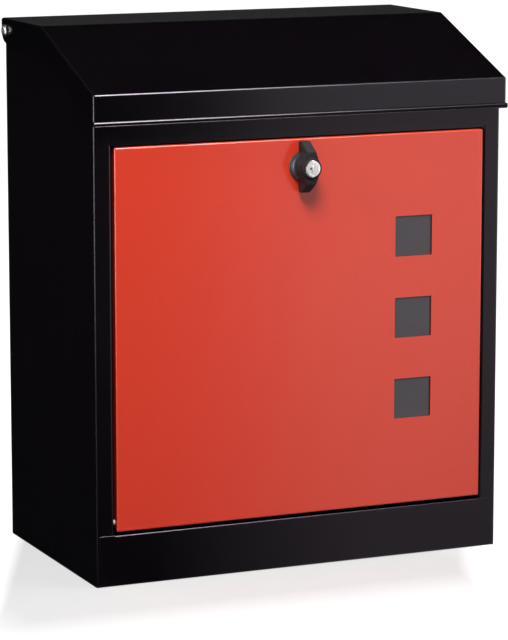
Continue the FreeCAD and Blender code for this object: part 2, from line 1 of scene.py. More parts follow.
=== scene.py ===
import bmesh
import bpy
import json
import math
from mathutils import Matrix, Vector


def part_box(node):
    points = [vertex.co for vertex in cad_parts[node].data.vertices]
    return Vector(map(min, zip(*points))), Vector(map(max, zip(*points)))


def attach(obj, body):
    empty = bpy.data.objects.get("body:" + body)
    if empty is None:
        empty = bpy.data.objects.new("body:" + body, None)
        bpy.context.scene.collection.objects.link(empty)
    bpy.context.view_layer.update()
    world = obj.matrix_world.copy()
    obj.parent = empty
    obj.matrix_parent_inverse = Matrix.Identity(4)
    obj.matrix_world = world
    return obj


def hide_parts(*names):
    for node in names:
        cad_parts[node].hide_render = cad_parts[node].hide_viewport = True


# Wall mounted post box: black coated case and lid, red drop-down door, smoked panes, wing lock

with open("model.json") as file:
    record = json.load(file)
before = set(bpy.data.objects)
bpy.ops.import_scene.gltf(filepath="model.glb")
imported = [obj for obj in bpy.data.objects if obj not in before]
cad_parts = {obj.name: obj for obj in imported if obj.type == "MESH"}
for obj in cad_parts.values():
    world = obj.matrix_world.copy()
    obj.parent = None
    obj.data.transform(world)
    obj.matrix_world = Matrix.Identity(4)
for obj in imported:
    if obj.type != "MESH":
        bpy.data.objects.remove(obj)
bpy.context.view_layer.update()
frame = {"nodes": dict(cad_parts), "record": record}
nodes = frame["nodes"]
mm = 0.001
print("frame loaded:", len(nodes), "nodes")


# Small helpers for node trees

def emptyTree(tree):
    for node in list(tree.nodes):
        tree.nodes.remove(node)


def feed(tree, socket, value):  # a link where value is a socket, else a plain value
    if isinstance(value, bpy.types.NodeSocket):
        tree.links.new(value, socket)
    elif isinstance(value, tuple) and len(value) == 3 and len(socket.default_value) == 4:
        socket.default_value = (*value, 1.0)
    else:
        socket.default_value = value


def addNode(tree, kind, settings=None, inputs=None):
    node = tree.nodes.new(kind)
    for name, value in (settings or {}).items():
        setattr(node, name, value)
    for name, value in (inputs or {}).items():
        feed(tree, node.inputs[name], value)
    return node


def mathNode(tree, operation, first, second=0.0, clamp=False):
    node = addNode(tree, "ShaderNodeMath", {"operation": operation, "use_clamp": clamp})
    feed(tree, node.inputs[0], first)
    feed(tree, node.inputs[1], second)
    return node.outputs[0]


def times(tree, first, second):
    return mathNode(tree, "MULTIPLY", first, second)


def rampNode(tree, value, low, high, atLow=0.0, atHigh=1.0):
    node = addNode(tree, "ShaderNodeMapRange", {"clamp": True}, {
        "Value": value, "From Min": low, "From Max": high, "To Min": atLow, "To Max": atHigh})
    return node.outputs[0]


def mixColour(tree, factor, first, second):
    node = addNode(tree, "ShaderNodeMix", {"data_type": "RGBA"})
    for index, value in ((0, factor), (6, first), (7, second)):  # the sockets it has for colours
        feed(tree, node.inputs[index], value)
    return node.outputs[2]


def noiseNode(tree, place, scale, detail=2.0, roughness=0.5):
    return addNode(tree, "ShaderNodeTexNoise", {}, {
        "Vector": place, "Scale": scale, "Detail": detail, "Roughness": roughness}).outputs["Fac"]


def objectPlace(tree):
    return addNode(tree, "ShaderNodeTexCoord").outputs["Object"]


def splitPlace(tree):
    return addNode(tree, "ShaderNodeSeparateXYZ", {}, {"Vector": objectPlace(tree)})


def newGroup(name, inputs, outputs):
    group = bpy.data.node_groups.new(name, "ShaderNodeTree")
    for label, default in inputs:
        socket = group.interface.new_socket(
            name=label, in_out="INPUT", socket_type="NodeSocketFloat")
        socket.default_value = default
    for label in outputs:
        group.interface.new_socket(name=label, in_out="OUTPUT", socket_type="NodeSocketFloat")
    return group, group.nodes.new("NodeGroupInput"), group.nodes.new("NodeGroupOutput")


# Effects that several finishes share

grainSettings = {
    "beadRoughness": 0.55, "peelRoughness": 0.4, "cloudScale": 14.0, "cloudDetail": 4.0,
}


def makePowderGrain():  # beads and orange peel of a sprayed and baked coat
    s = grainSettings
    group, entry, leave = newGroup(
        "powderGrain", [("Bead Scale", 900.0), ("Peel Scale", 160.0), ("Peel Share", 0.4)],
        ["Height", "Tone", "Cloud"])
    place = objectPlace(group)
    beads = noiseNode(group, place, entry.outputs["Bead Scale"], 2.0, s["beadRoughness"])
    peel = noiseNode(group, place, entry.outputs["Peel Scale"], 1.0, s["peelRoughness"])
    blended = addNode(group, "ShaderNodeMix", {}, {
        "Factor": entry.outputs["Peel Share"], "A": beads, "B": peel})
    group.links.new(blended.outputs[0], leave.inputs["Height"])
    group.links.new(beads, leave.inputs["Tone"])
    clouds = noiseNode(group, place, s["cloudScale"], s["cloudDetail"])
    group.links.new(clouds, leave.inputs["Cloud"])
    return group


edgeWearHighlightSettings = {"samples": 4, "turned": (0.01, 0.16), "patchDetail": 4.0, "broken": (0.42, 0.62)}


def makeEdgeWearHighlight():  # outer edges and bends lightened: wear broken up as handling breaks it up, and a painted highlight on the bends
    s = edgeWearHighlightSettings
    group, entry, leave = newGroup(
        "edgeWearAndHighlight", [("Reach", 0.0015), ("Patch Scale", 60.0), ("Amount", 0.5)], ["Mask"])
    place = objectPlace(group)
    bevel = addNode(group, "ShaderNodeBevel", {"samples": s["samples"]}, {
        "Radius": entry.outputs["Reach"]})
    surface = addNode(group, "ShaderNodeNewGeometry")
    dot = addNode(group, "ShaderNodeVectorMath", {"operation": "DOT_PRODUCT"})
    group.links.new(bevel.outputs["Normal"], dot.inputs[0])
    group.links.new(surface.outputs["Normal"], dot.inputs[1])
    turned = rampNode(group, mathNode(group, "SUBTRACT", 1.0, dot.outputs["Value"]), *s["turned"])
    patches = noiseNode(group, place, entry.outputs["Patch Scale"], s["patchDetail"])
    mask = times(group, turned, rampNode(group, patches, *s["broken"]))
    mask = mathNode(group, "MULTIPLY", mask, entry.outputs["Amount"], clamp=True)
    group.links.new(mask, leave.inputs["Mask"])
    return group


dustSettings = {
    "upward": (0.5, 1.0), "patchDetail": 5.0, "patches": (0.3, 0.75, 0.2, 1.0),
    "colour": (0.32, 0.3, 0.27),
}


def makeRestingDust():  # faint dust on faces that look up
    s = dustSettings
    group, entry, leave = newGroup(
        "restingDust", [("Patch Scale", 18.0), ("Amount", 0.1)], ["Mask"])
    place = objectPlace(group)
    surface = addNode(group, "ShaderNodeNewGeometry")
    split = addNode(group, "ShaderNodeSeparateXYZ", {}, {"Vector": surface.outputs["Normal"]})
    upward = rampNode(group, split.outputs["Z"], *s["upward"])
    patches = noiseNode(group, place, entry.outputs["Patch Scale"], s["patchDetail"])
    mask = times(group, upward, rampNode(group, patches, *s["patches"]))
    mask = mathNode(group, "MULTIPLY", mask, entry.outputs["Amount"], clamp=True)
    group.links.new(mask, leave.inputs["Mask"])
    return group


powderGrain = makePowderGrain()
edgeWearAndHighlight = makeEdgeWearHighlight()
restingDust = makeRestingDust()
print("shared effects ready")


noiseBounds = (0.35, 0.65)  # the part of a noise that colours and roughness spread over
coatBounds = (0.3, 0.7)  # the same for the coats' roughness
noTint = (1.0, 1.0, 1.0)


def useGroup(tree, group, values):
    node = addNode(tree, "ShaderNodeGroup")
    node.node_tree = group
    for name, value in values.items():
        node.inputs[name].default_value = value
    return node


def newFinish(name, constants):
    material = bpy.data.materials.new(name)
    material.use_nodes = True
    tree = material.node_tree
    emptyTree(tree)
    output = addNode(tree, "ShaderNodeOutputMaterial")
    shader = addNode(tree, "ShaderNodeBsdfPrincipled", {}, constants)
    tree.links.new(shader.outputs["BSDF"], output.inputs["Surface"])
    return material, tree, shader


def addBump(tree, shader, height, strength, depth):
    bump = addNode(tree, "ShaderNodeBump", {}, {
        "Strength": strength, "Distance": depth, "Height": height})
    tree.links.new(bump.outputs["Normal"], shader.inputs["Normal"])


def coatFinish(name, s):  # powder coat over folded steel
    material, tree, shader = newFinish(name, {
        "Specular IOR Level": s["specular"], "Specular Tint": s.get("tint", noTint)})
    grain = useGroup(tree, powderGrain, {
        "Bead Scale": s["beadScale"], "Peel Scale": s["peelScale"], "Peel Share": s["peelShare"]})
    wornHighlitEdges = useGroup(tree, edgeWearAndHighlight, {"Reach": s["wearAndHighlightReach"], "Amount": s["wearAndHighlightAmount"]})
    dust = useGroup(tree, restingDust, {"Amount": s["dust"]})
    tone = rampNode(tree, grain.outputs["Tone"], *noiseBounds)
    colour = mixColour(tree, tone, s["deep"], s["light"])
    # lighter edges and bends: wear, and a painted highlight
    colour = mixColour(tree, wornHighlitEdges.outputs["Mask"], colour, s["wornAndHighlitColour"])
    colour = mixColour(tree, dust.outputs["Mask"], colour, dustSettings["colour"])
    if "returnShadeFrom" in s:  # painted shade: the sides of the door's returns darkened, where they lie in shade in the gap
        split = splitPlace(tree)
        aside = rampNode(tree, mathNode(tree, "ABSOLUTE", split.outputs["X"]), *s["returnShadeFrom"])
        deeper = rampNode(tree, split.outputs["Y"], *s["returnShadeDepth"])
        share = times(tree, aside, deeper)
        colour = mixColour(tree, share, colour, s["returnShadeColour"])
    tree.links.new(colour, shader.inputs["Base Color"])
    if "shadeBelowGloss" in s:  # painted shade: hardly any gloss low on the lid's rolled edge, so its underside reads dark
        gloss = rampNode(tree, splitPlace(tree).outputs["Z"], *s["shadeBelowGloss"],
                         s["shadeGlossShare"] * s["specular"], s["specular"])
        tree.links.new(gloss, shader.inputs["Specular IOR Level"])
    rough = rampNode(tree, grain.outputs["Tone"], *coatBounds, s["roughLow"], s["roughHigh"])
    drift = rampNode(tree, grain.outputs["Cloud"], *coatBounds, -s["roughDrift"], s["roughDrift"])
    tree.links.new(mathNode(tree, "ADD", rough, drift), shader.inputs["Roughness"])
    addBump(tree, shader, grain.outputs["Height"], s["bumpStrength"], s["bumpDepth"])
    return material


blackCoatSettings = {
    "deep": (0.0013, 0.0009, 0.0015), "light": (0.0029, 0.0021, 0.0033),
    "wornAndHighlitColour": (0.02, 0.019, 0.021), "beadScale": 1000.0, "peelScale": 260.0, "peelShare": 0.25,
    "wearAndHighlightReach": 0.0012, "wearAndHighlightAmount": 0.2, "dust": 0.002, "specular": 0.285,
    "tint": (1.0, 0.83, 0.96), "roughLow": 0.18, "roughHigh": 0.27, "roughDrift": 0.015,
    "bumpStrength": 0.35, "bumpDepth": 0.0001,
}
# painted shade and sheen: a darker, glossier copy of the black coat for the lid, matched to how its
# faces are lit
lidShadeSheenCoatSettings = dict(
    blackCoatSettings, specular=0.36, tint=(0.96, 0.85, 1.0), roughLow=0.15, roughHigh=0.22,
    deep=(0.0008, 0.0005, 0.0009), light=(0.002, 0.0014, 0.0022),
    shadeBelowGloss=(322.9 * mm, 323.3 * mm), shadeGlossShare=0.2)
redCoatSettings = {
    "deep": (0.63, 0.04, 0.017), "light": (0.66, 0.043, 0.019), "wornAndHighlitColour": (0.78, 0.1, 0.06),
    "beadScale": 1300.0, "peelScale": 220.0, "peelShare": 0.4, "wearAndHighlightReach": 0.0012, "wearAndHighlightAmount": 0.2,
    "dust": 0.0, "specular": 0.7, "roughLow": 0.22, "roughHigh": 0.26, "roughDrift": 0.008,
    "bumpStrength": 0.16, "bumpDepth": 0.00007,
    "returnShadeFrom": (138.9 * mm, 139.3 * mm), "returnShadeDepth": (-82.4 * mm, -81.7 * mm),
    "returnShadeColour": (0.22, 0.012, 0.005),
}
blackCoat = coatFinish("blackPowderCoat", blackCoatSettings)
lidShadeSheenCoat = coatFinish("lidShadeSheenPowderCoat", lidShadeSheenCoatSettings)
redCoat = coatFinish("redPowderCoat", redCoatSettings)


metalSettings = {  # what all metals share
    "blotchDetail": 4.0, "scratchDetail": 3.0, "scratchStrength": 0.3, "scratchDepth": 0.00004,
}


def metalFinish(name, settings):
    s = dict(metalSettings, **settings)
    material, tree, shader = newFinish(name, {"Metallic": 1.0})
    place = objectPlace(tree)
    blotch = noiseNode(tree, place, s["blotchScale"], s["blotchDetail"])
    colour = mixColour(tree, rampNode(tree, blotch, *noiseBounds), s["deep"], s["light"])
    tree.links.new(colour, shader.inputs["Base Color"])
    rough = rampNode(tree, blotch, *noiseBounds, s["roughLow"], s["roughHigh"])
    tree.links.new(rough, shader.inputs["Roughness"])
    scratches = noiseNode(tree, place, s["scratchScale"], s["scratchDetail"])
    addBump(tree, shader, scratches, s["scratchStrength"], s["scratchDepth"])
    return material


brightSteel = metalFinish("brightSteel", {
    "deep": (0.68, 0.68, 0.69), "light": (0.84, 0.84, 0.85), "blotchScale": 300.0,
    "roughLow": 0.26, "roughHigh": 0.36, "scratchScale": 2500.0})
dullZinc = metalFinish("dullZinc", {
    "deep": (0.33, 0.33, 0.32), "light": (0.52, 0.52, 0.5), "blotchScale": 180.0, "roughLow": 0.3,
    "roughHigh": 0.5, "scratchScale": 1800.0})
platedPlug = metalFinish("platedPlug", {
    "deep": (0.74, 0.73, 0.72), "light": (0.86, 0.85, 0.84), "blotchScale": 500.0,
    "roughLow": 0.24, "roughHigh": 0.36, "scratchScale": 3000.0})


plasticSettings = {  # what all plastics share
    "cloudDetail": 3.0, "fineDetail": 2.0, "fineStrength": 0.4,
}


def plasticFinish(name, settings):
    s = dict(plasticSettings, **settings)
    material, tree, shader = newFinish(name, {
        "Specular IOR Level": s["specular"], "Specular Tint": s.get("tint", noTint)})
    place = objectPlace(tree)
    cloud = noiseNode(tree, place, s["cloudScale"], s["cloudDetail"])
    colour = mixColour(tree, rampNode(tree, cloud, *noiseBounds), s["deep"], s["light"])
    if "darkFrom" in s:  # the shadow in the joint at the panes' right edges
        aside = rampNode(tree, splitPlace(tree).outputs["X"], *s["darkFrom"])
        colour = mixColour(tree, aside, colour, s["darkColour"])
    tree.links.new(colour, shader.inputs["Base Color"])
    rough = rampNode(tree, cloud, *noiseBounds, s["roughLow"], s["roughHigh"])
    tree.links.new(rough, shader.inputs["Roughness"])
    fine = noiseNode(tree, place, s["fineScale"], s["fineDetail"])
    addBump(tree, shader, fine, s["fineStrength"], s["fineDepth"])
    return material


smokedSheet = plasticFinish("smokedSheet", {
    "deep": (0.052, 0.046, 0.053), "light": (0.06, 0.053, 0.06), "cloudScale": 40.0,
    "fineScale": 3000.0, "fineDepth": 0.00003, "roughLow": 0.3, "roughHigh": 0.36,
    "specular": 0.4, "darkFrom": (100.15 * mm, 100.35 * mm), "darkColour": (0.001, 0.0008, 0.0008)})
lockBlack = plasticFinish("lockBlack", {
    "deep": (0.021, 0.0185, 0.021), "light": (0.026, 0.023, 0.026), "cloudScale": 220.0,
    "fineScale": 2200.0, "fineDepth": 0.00004, "roughLow": 0.5, "roughHigh": 0.6, "specular": 0.06})
lockGloss = plasticFinish("lockGloss", {
    "deep": (0.025, 0.037, 0.043), "light": (0.031, 0.046, 0.053), "cloudScale": 200.0,
    "fineScale": 2000.0, "fineDepth": 0.00002, "roughLow": 0.3, "roughHigh": 0.36,
    "specular": 1.0, "tint": (0.75, 0.95, 1.0)})
nylon = plasticFinish("nylon", {
    "deep": (0.6, 0.58, 0.52), "light": (0.7, 0.68, 0.62), "cloudScale": 300.0,
    "fineScale": 2000.0, "fineDepth": 0.00003, "roughLow": 0.45, "roughHigh": 0.55,
    "specular": 0.4})
print("finishes ready")

finishOfSlot = {
    "black_paint": blackCoat, "red_paint": redCoat, "smoked_sheet": smokedSheet,
    "black_lock": lockBlack, "bright_plug": platedPlug, "bright_steel": brightSteel,
    "zinc_steel": dullZinc, "washer_plastic": nylon,
}
for part in frame["record"]["subparts"]:
    cadNode = nodes[part["node"]]
    cadNode.data.materials.clear()
    # the lid takes the darker, glossier copy of the black coat: painted shade and sheen
    finish = lidShadeSheenCoat if part["node"] == "lid" else finishOfSlot[part["material_slot"]]
    cadNode.data.materials.append(finish)
print("finishes placed on the frame")


# Helpers for modelling

mergeReach = 1e-7
edgeTurn = math.radians(30)  # an edge that turns more than this is rounded
downward = -0.9  # a face whose normal has less Z than this looks down


def selectOnly(*pieces):  # the last one becomes the active one
    bpy.ops.object.select_all(action="DESELECT")
    for piece in pieces:
        piece.select_set(True)
    bpy.context.view_layer.objects.active = pieces[-1]


def startEdit(piece, kind="FACE"):
    selectOnly(piece)
    bpy.ops.object.mode_set(mode="EDIT")
    bpy.ops.mesh.select_mode(type=kind)
    bpy.ops.mesh.select_all(action="DESELECT")


def pickUnderside(piece):
    mesh = bmesh.from_edit_mesh(piece.data)
    for face in mesh.faces:
        face.select_set(face.normal.z < downward)
    bmesh.update_edit_mesh(piece.data)


def endEdit():
    bpy.ops.object.mode_set(mode="OBJECT")


def turnedPiece(name, profile, sides, hollow=False):
    # profile: (radius, along) steps up the piece's own Z axis, in metres
    radius, along = profile[0]
    bpy.ops.mesh.primitive_circle_add(vertices=sides, radius=radius, location=(0, 0, along))
    piece = bpy.context.object
    piece.name = name
    bpy.ops.object.transform_apply(location=True, rotation=False, scale=False)
    startEdit(piece, "EDGE")
    bpy.ops.mesh.select_all(action="SELECT")
    if not hollow:
        bpy.ops.mesh.edge_face_add()
        bpy.ops.mesh.select_mode(type="EDGE")
    for nextRadius, nextAlong in profile[1:]:
        bpy.ops.mesh.extrude_edges_move(TRANSFORM_OT_translate={"value": (0, 0, nextAlong - along)})
        share = nextRadius / radius
        bpy.ops.transform.resize(value=(share, share, 1.0))
        radius, along = nextRadius, nextAlong
    if hollow:
        bpy.ops.mesh.select_all(action="SELECT")
        bpy.ops.mesh.select_non_manifold(extend=False)
        bpy.ops.mesh.bridge_edge_loops()
    else:
        bpy.ops.mesh.edge_face_add()
    bpy.ops.mesh.select_all(action="SELECT")
    bpy.ops.mesh.remove_doubles(threshold=mergeReach)
    bpy.ops.mesh.normals_make_consistent(inside=False)
    endEdit()
    return piece


def settle(piece, place=(0, 0, 0), turn=(0, 0, 0)):  # place and turn go into the mesh
    selectOnly(piece)
    piece.rotation_euler = turn
    piece.location = place
    bpy.ops.object.transform_apply(location=True, rotation=True, scale=True)


def combine(piece, other, operation="DIFFERENCE"):  # cuts the other shape out, or adds it
    selectOnly(piece)
    modifier = piece.modifiers.new("combine", "BOOLEAN")
    modifier.operation, modifier.object, modifier.solver = operation, other, "EXACT"
    bpy.ops.object.modifier_apply(modifier="combine")
    bpy.data.objects.remove(other, do_unlink=True)


def join(piece, other):
    selectOnly(other, piece)
    bpy.ops.object.join()


def prismPiece(name, points, reach):  # an outline in X and Y, drawn from Z = -reach to Z = reach
    bpy.ops.mesh.primitive_circle_add(
        vertices=len(points), radius=1.0, fill_type="NGON", location=(0, 0, 0))
    piece = bpy.context.object
    piece.name = name
    for vertex, (x, y) in zip(piece.data.vertices, points):
        vertex.co = (x, y, -reach)
    startEdit(piece)
    bpy.ops.mesh.select_all(action="SELECT")
    bpy.ops.mesh.extrude_region_move(TRANSFORM_OT_translate={"value": (0, 0, 2 * reach)})
    bpy.ops.mesh.select_all(action="SELECT")
    bpy.ops.mesh.normals_make_consistent(inside=False)
    endEdit()
    return piece


def boxPiece(name, size, place):
    bpy.ops.mesh.primitive_cube_add(size=1.0, location=(0, 0, 0))
    piece = bpy.context.object
    piece.name = name
    piece.scale = size
    bpy.ops.object.transform_apply(location=False, rotation=False, scale=True)
    settle(piece, place)
    return piece


def roundEdges(piece, width, segments):
    selectOnly(piece)
    modifier = piece.modifiers.new("round", "BEVEL")
    modifier.width, modifier.segments, modifier.limit_method = width, segments, "ANGLE"
    modifier.angle_limit = edgeTurn
    modifier.use_clamp_overlap = True
    bpy.ops.object.modifier_apply(modifier="round")


def finishPiece(piece, material, body, smooth=35):  # smooth: sharper turns shade as edges
    selectOnly(piece)
    bpy.ops.object.shade_smooth_by_angle(angle=math.radians(smooth))
    piece.data.materials.clear()
    piece.data.materials.append(material)
    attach(piece, body)


# Lid pivot screws: raised heads with a cross recess, a plain shoulder and a rolled thread

pivotSettings = {
    "headRadius": 4.5 * mm, "headHeight": 2.6 * mm, "rim": 0.9 * mm, "headBevel": 0.15 * mm,
    "domeSteps": 6, "domeTurn": 12, "crown": 1.2 * mm, "shoulderRadius": 2.5 * mm,
    "shoulderLength": 2.1 * mm, "threadRadius": 2.0 * mm, "threadDepth": 0.28 * mm,
    "pitch": 0.7 * mm, "crest": (0.45, 0.55), "tip": 0.3 * mm, "sides": 48, "recessReach": 2.3 * mm,
    "recessWidth": 0.85 * mm, "recessDepth": 1.5 * mm, "recessTaper": (0.45, 0.6),
}


def threadSteps(along, end, pitch, root, top, crest):  # a thread's profile, in whole turns
    steps = []
    while along + pitch < end:
        steps += [(top, along + share * pitch) for share in crest] + [(root, along + pitch)]
        along += pitch
    return steps


def makePivotScrew(side):
    s = pivotSettings
    node = "pivot_screw_right" if side > 0 else "pivot_screw_left"
    low, high = (Vector(corner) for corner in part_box(node))
    length = high.x - low.x
    seat = length - s["headHeight"]
    caseWall = seat - s["shoulderLength"]
    thread, root = s["threadRadius"], s["threadRadius"] - s["threadDepth"]
    profile = [(thread - 2 * s["threadDepth"], 0.0), (root, s["tip"])]
    profile += threadSteps(s["tip"], caseWall, s["pitch"], root, thread, s["crest"])
    profile += [(thread, caseWall), (s["shoulderRadius"], caseWall), (s["shoulderRadius"], seat),
                (s["headRadius"] - s["headBevel"], seat), (s["headRadius"], seat + s["headBevel"]),
                (s["headRadius"], seat + s["rim"])]
    for step in range(1, s["domeSteps"] + 1):
        radius = s["headRadius"] * math.cos(math.radians(s["domeTurn"] * step))
        rise = (s["headHeight"] - s["rim"]) * math.sin(math.radians(90 * step / s["domeSteps"]))
        profile.append((radius if step < s["domeSteps"] else s["crown"], seat + s["rim"] + rise))
    screw = turnedPiece("pivotScrew" + ("Right" if side > 0 else "Left"), profile, s["sides"])
    for turn, taper in ((0, s["recessTaper"]), (math.pi / 2, s["recessTaper"][::-1])):
        bpy.ops.mesh.primitive_cube_add(size=1.0, location=(0, 0, 0))
        bar = bpy.context.object
        bar.scale = (2 * s["recessReach"], s["recessWidth"], 2 * s["recessDepth"])
        settle(bar, (0, 0, length), (0, 0, turn))
        startEdit(bar)
        pickUnderside(bar)
        bpy.ops.transform.resize(value=(*taper, 1.0))
        endEdit()
        combine(screw, bar)
    settle(screw, (low.x if side > 0 else high.x, (low.y + high.y) / 2, (low.z + high.z) / 2),
           (0, math.pi / 2 * side, 0))
    finishPiece(screw, brightSteel, "case")
    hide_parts(node)


makePivotScrew(1)
makePivotScrew(-1)
print("pivot screws ready")


# Bushes on the door's hinge pins, in the gap between stile and door

bushSettings = {
    "bore": 1.56 * mm, "radius": 1.75 * mm, "bevel": 0.06 * mm, "gap": 2.0 * mm, "play": 0.12 * mm,
    "sides": 40,
}


def makePinBush(side):
    s = bushSettings
    pin = "door_pin_right" if side > 0 else "door_pin_left"
    low, high = (Vector(corner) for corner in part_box(pin))
    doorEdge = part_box("door_panel")[1][0]
    length, bevel, radius = s["gap"] - 2 * s["play"], s["bevel"], s["radius"]
    bush = turnedPiece("pinBush" + ("Right" if side > 0 else "Left"), [
        (s["bore"], 0.0), (radius - bevel, 0.0), (radius, bevel), (radius, length - bevel),
        (radius - bevel, length), (s["bore"], length)], s["sides"], hollow=True)
    settle(bush, (side * (doorEdge + s["play"]), (low.y + high.y) / 2, (low.z + high.z) / 2),
           (0, math.pi / 2 * side, 0))
    finishPiece(bush, nylon, "case")


makePinBush(1)
makePinBush(-1)
print("pin bushes ready")


# Rounded edges of the painted sheets, the lip under the frame's head, and the lap along the door's
# right and lower edges

rodSides = 24


def roundRod(name, radius, start, end, body="case"):  # along X or up Z
    reach = Vector(end) - Vector(start)
    rod = turnedPiece(name, [(radius, 0.0), (radius, reach.length)], rodSides)
    settle(rod, start, (0, math.pi / 2, 0) if reach.x else (0, 0, 0))
    finishPiece(rod, blackCoat, body)


lipEdgeSettings = {
    "radius": 0.5 * mm, "half": 156.8 * mm, "height": 320.9 * mm, "middle": -89.5 * mm,
}


def makeLipEdge():  # the end of the rolled sheet, low on the lid's front
    s = lipEdgeSettings
    half, middle, height = s["half"], s["middle"], s["height"]
    roundRod("lipEdge", s["radius"], (-half, middle, height), (half, middle, height), "lid")


plinthEdgeSettings = {
    "radius": 0.36 * mm, "inner": 141.6 * mm, "end": 152.8 * mm, "top": 35.9 * mm, "foot": 2.0 * mm,
    "middle": -82.45 * mm,
}


def makePlinthEdges():  # along the tops of the plinth's ends, and down them
    s = plinthEdgeSettings
    radius, middle, top, end = s["radius"], s["middle"], s["top"], s["end"]
    for side, label in ((1, "Right"), (-1, "Left")):
        inner, outer = sorted((side * s["inner"], side * end))
        roundRod("plinthEdge" + label, radius, (inner, middle, top), (outer, middle, top))
        roundRod("plinthEnd" + label, radius, (side * end, middle, s["foot"]),
                 (side * end, middle, top))


headLipSettings = {
    "half": 141.9 * mm, "foot": 306.7 * mm, "top": 309.6 * mm, "front": -82.07 * mm,
    "depth": 1.6 * mm,
}


def makeHeadLip():
    s = headLipSettings
    size = (2 * s["half"], s["depth"], s["top"] - s["foot"])
    place = (0, s["front"] + s["depth"] / 2, (s["top"] + s["foot"]) / 2)
    finishPiece(boxPiece("headLip", size, place), blackCoat, "case")


doorLapSettings = {
    "left": -139.95 * mm, "right": 141.4 * mm, "foot": 38.4 * mm, "top": 305.4 * mm,
    "width": 3.0 * mm, "front": -82.69 * mm, "depth": 2.4 * mm, "round": 1.0 * mm, "steps": 4,
}


def makeDoorLap():
    s = doorLapSettings
    left, right, foot, top, wide = s["left"], s["right"], s["foot"], s["top"], s["width"]
    lap = prismPiece("doorLap", [
        (left, foot), (right, foot), (right, top), (right - wide, top), (right - wide, foot + wide),
        (left, foot + wide)], s["depth"] / 2)
    settle(lap, (0, s["front"] + s["depth"] / 2, 0), (math.pi / 2, 0, 0))
    roundEdges(lap, s["round"], s["steps"])
    finishPiece(lap, redCoat, "door")


makeLipEdge()
makePlinthEdges()
makeHeadLip()
makeDoorLap()
print("sheet edges ready")


# Lock: collar with its threaded barrel, wing knob, and key plug with a shutter in its keyway
# "Out" is measured forward from the door's face, "up" from the lock's axis; outlines are in
# millimetres

lockSides = 96
collarHeight = 4.6 * mm
lockLow, lockHigh = (Vector(corner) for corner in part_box("lock_housing"))
doorFace = lockLow.y + collarHeight
lockPlace = (0, doorFace, (lockLow.z + lockHigh.z) / 2)
forward = (math.pi / 2, 0, 0)  # turns a piece's Z axis to the front

housingSettings = {
    "radius": 10.4 * mm, "front": 8.7 * mm, "bore": 5.05 * mm, "step": 6.2 * mm,
    "stepBevel": 0.2 * mm, "stepSlant": 0.3 * mm, "stepDepth": 0.9 * mm, "noseInset": 0.55 * mm,
    "barrelRadius": 8.0 * mm, "barrelFlats": 13.5 * mm, "barrelTip": 0.4 * mm,
    "barrelBevel": 0.3 * mm, "barrelTop": 0.3 * mm, "pitch": 1.0 * mm, "threadDepth": 0.4 * mm,
    "threadEnd": -1.2 * mm, "crest": (0.42, 0.58), "cutterWidth": 6 * mm,
    # (inwards, out), from the collar's rim and from its front edge
    "rimOutline": ((0.2, 0.0), (0.0, 0.2), (0.0, 1.0), (0.15, 1.2), (0.55, 1.25), (0.6, 1.45),
                   (0.75, 2.3)),
    "noseOutline": ((-0.45, 3.7), (-0.2, 4.15), (0.15, 4.48)),
}


def makeLockHousing():
    s = housingSettings
    radius, front, bore, step = s["radius"], s["front"], s["bore"], s["step"]
    floor = collarHeight - s["stepDepth"]
    collar = turnedPiece("lockHousing", [
        (bore, 0.0), *((radius - inwards * mm, out * mm) for inwards, out in s["rimOutline"]),
        *((front - inwards * mm, out * mm) for inwards, out in s["noseOutline"]),
        (front - s["noseInset"], collarHeight), (step + s["stepBevel"], collarHeight),
        (step, collarHeight - s["stepBevel"]), (step - s["stepSlant"], floor), (bore, floor)],
        lockSides, hollow=True)
    length = lockHigh.y - doorFace
    inner = s["barrelRadius"] - s["threadDepth"]
    start = s["barrelTip"] - length
    profile = [(bore, -length), (inner - s["barrelBevel"], -length), (inner, start)]
    profile += threadSteps(start, s["threadEnd"], s["pitch"], inner, s["barrelRadius"], s["crest"])
    profile += [(inner, s["barrelTop"]), (bore, s["barrelTop"])]
    barrel = turnedPiece("lockBarrel", profile, lockSides, hollow=True)
    wide = s["cutterWidth"]
    for side in (-1, 1):
        place = (side * (s["barrelFlats"] + wide) / 2, 0, -2 * wide)
        combine(barrel, boxPiece("flatCutter", (wide, 4 * wide, 4 * wide), place))
    join(collar, barrel)
    settle(collar, lockPlace, forward)
    finishPiece(collar, lockGloss, "door", smooth=30)
    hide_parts("lock_housing")


knobSettings = {
    "back": 5.0 * mm, "front": 17.0 * mm, "radius": 7.2 * mm, "foot": 7.7 * mm, "bevel": 0.3 * mm,
    "round": 0.9 * mm, "roundSteps": 6, "hole": 5.8 * mm, "holeFloor": 9.7 * mm,
    "holeBevel": 0.35 * mm, "holeOver": 0.05 * mm, "seatRadius": 5.02 * mm, "seatUnder": 1 * mm,
    "seatEnd": 8.6 * mm, "seatSides": 48, "wingHalf": 3.7 * mm, "wingRound": 0.95 * mm,
    "wingSteps": 4, "crest": 15.6 * mm, "fairingSunk": 0.01 * mm, "fairingRound": 0.7 * mm,
    "fairingSteps": 3,
    # the wings' upper half as (out, up), and a quarter of the fairing as (across, up)
    "wings": ((15.6, 11.6), (5.4, 18.0), (1.2, 18.0), (1.2, 10.8), (5.0, 10.8)),
    "fairing": ((6.7, 2.6), (5.0, 7.2), (3.9, 11.0)),
}


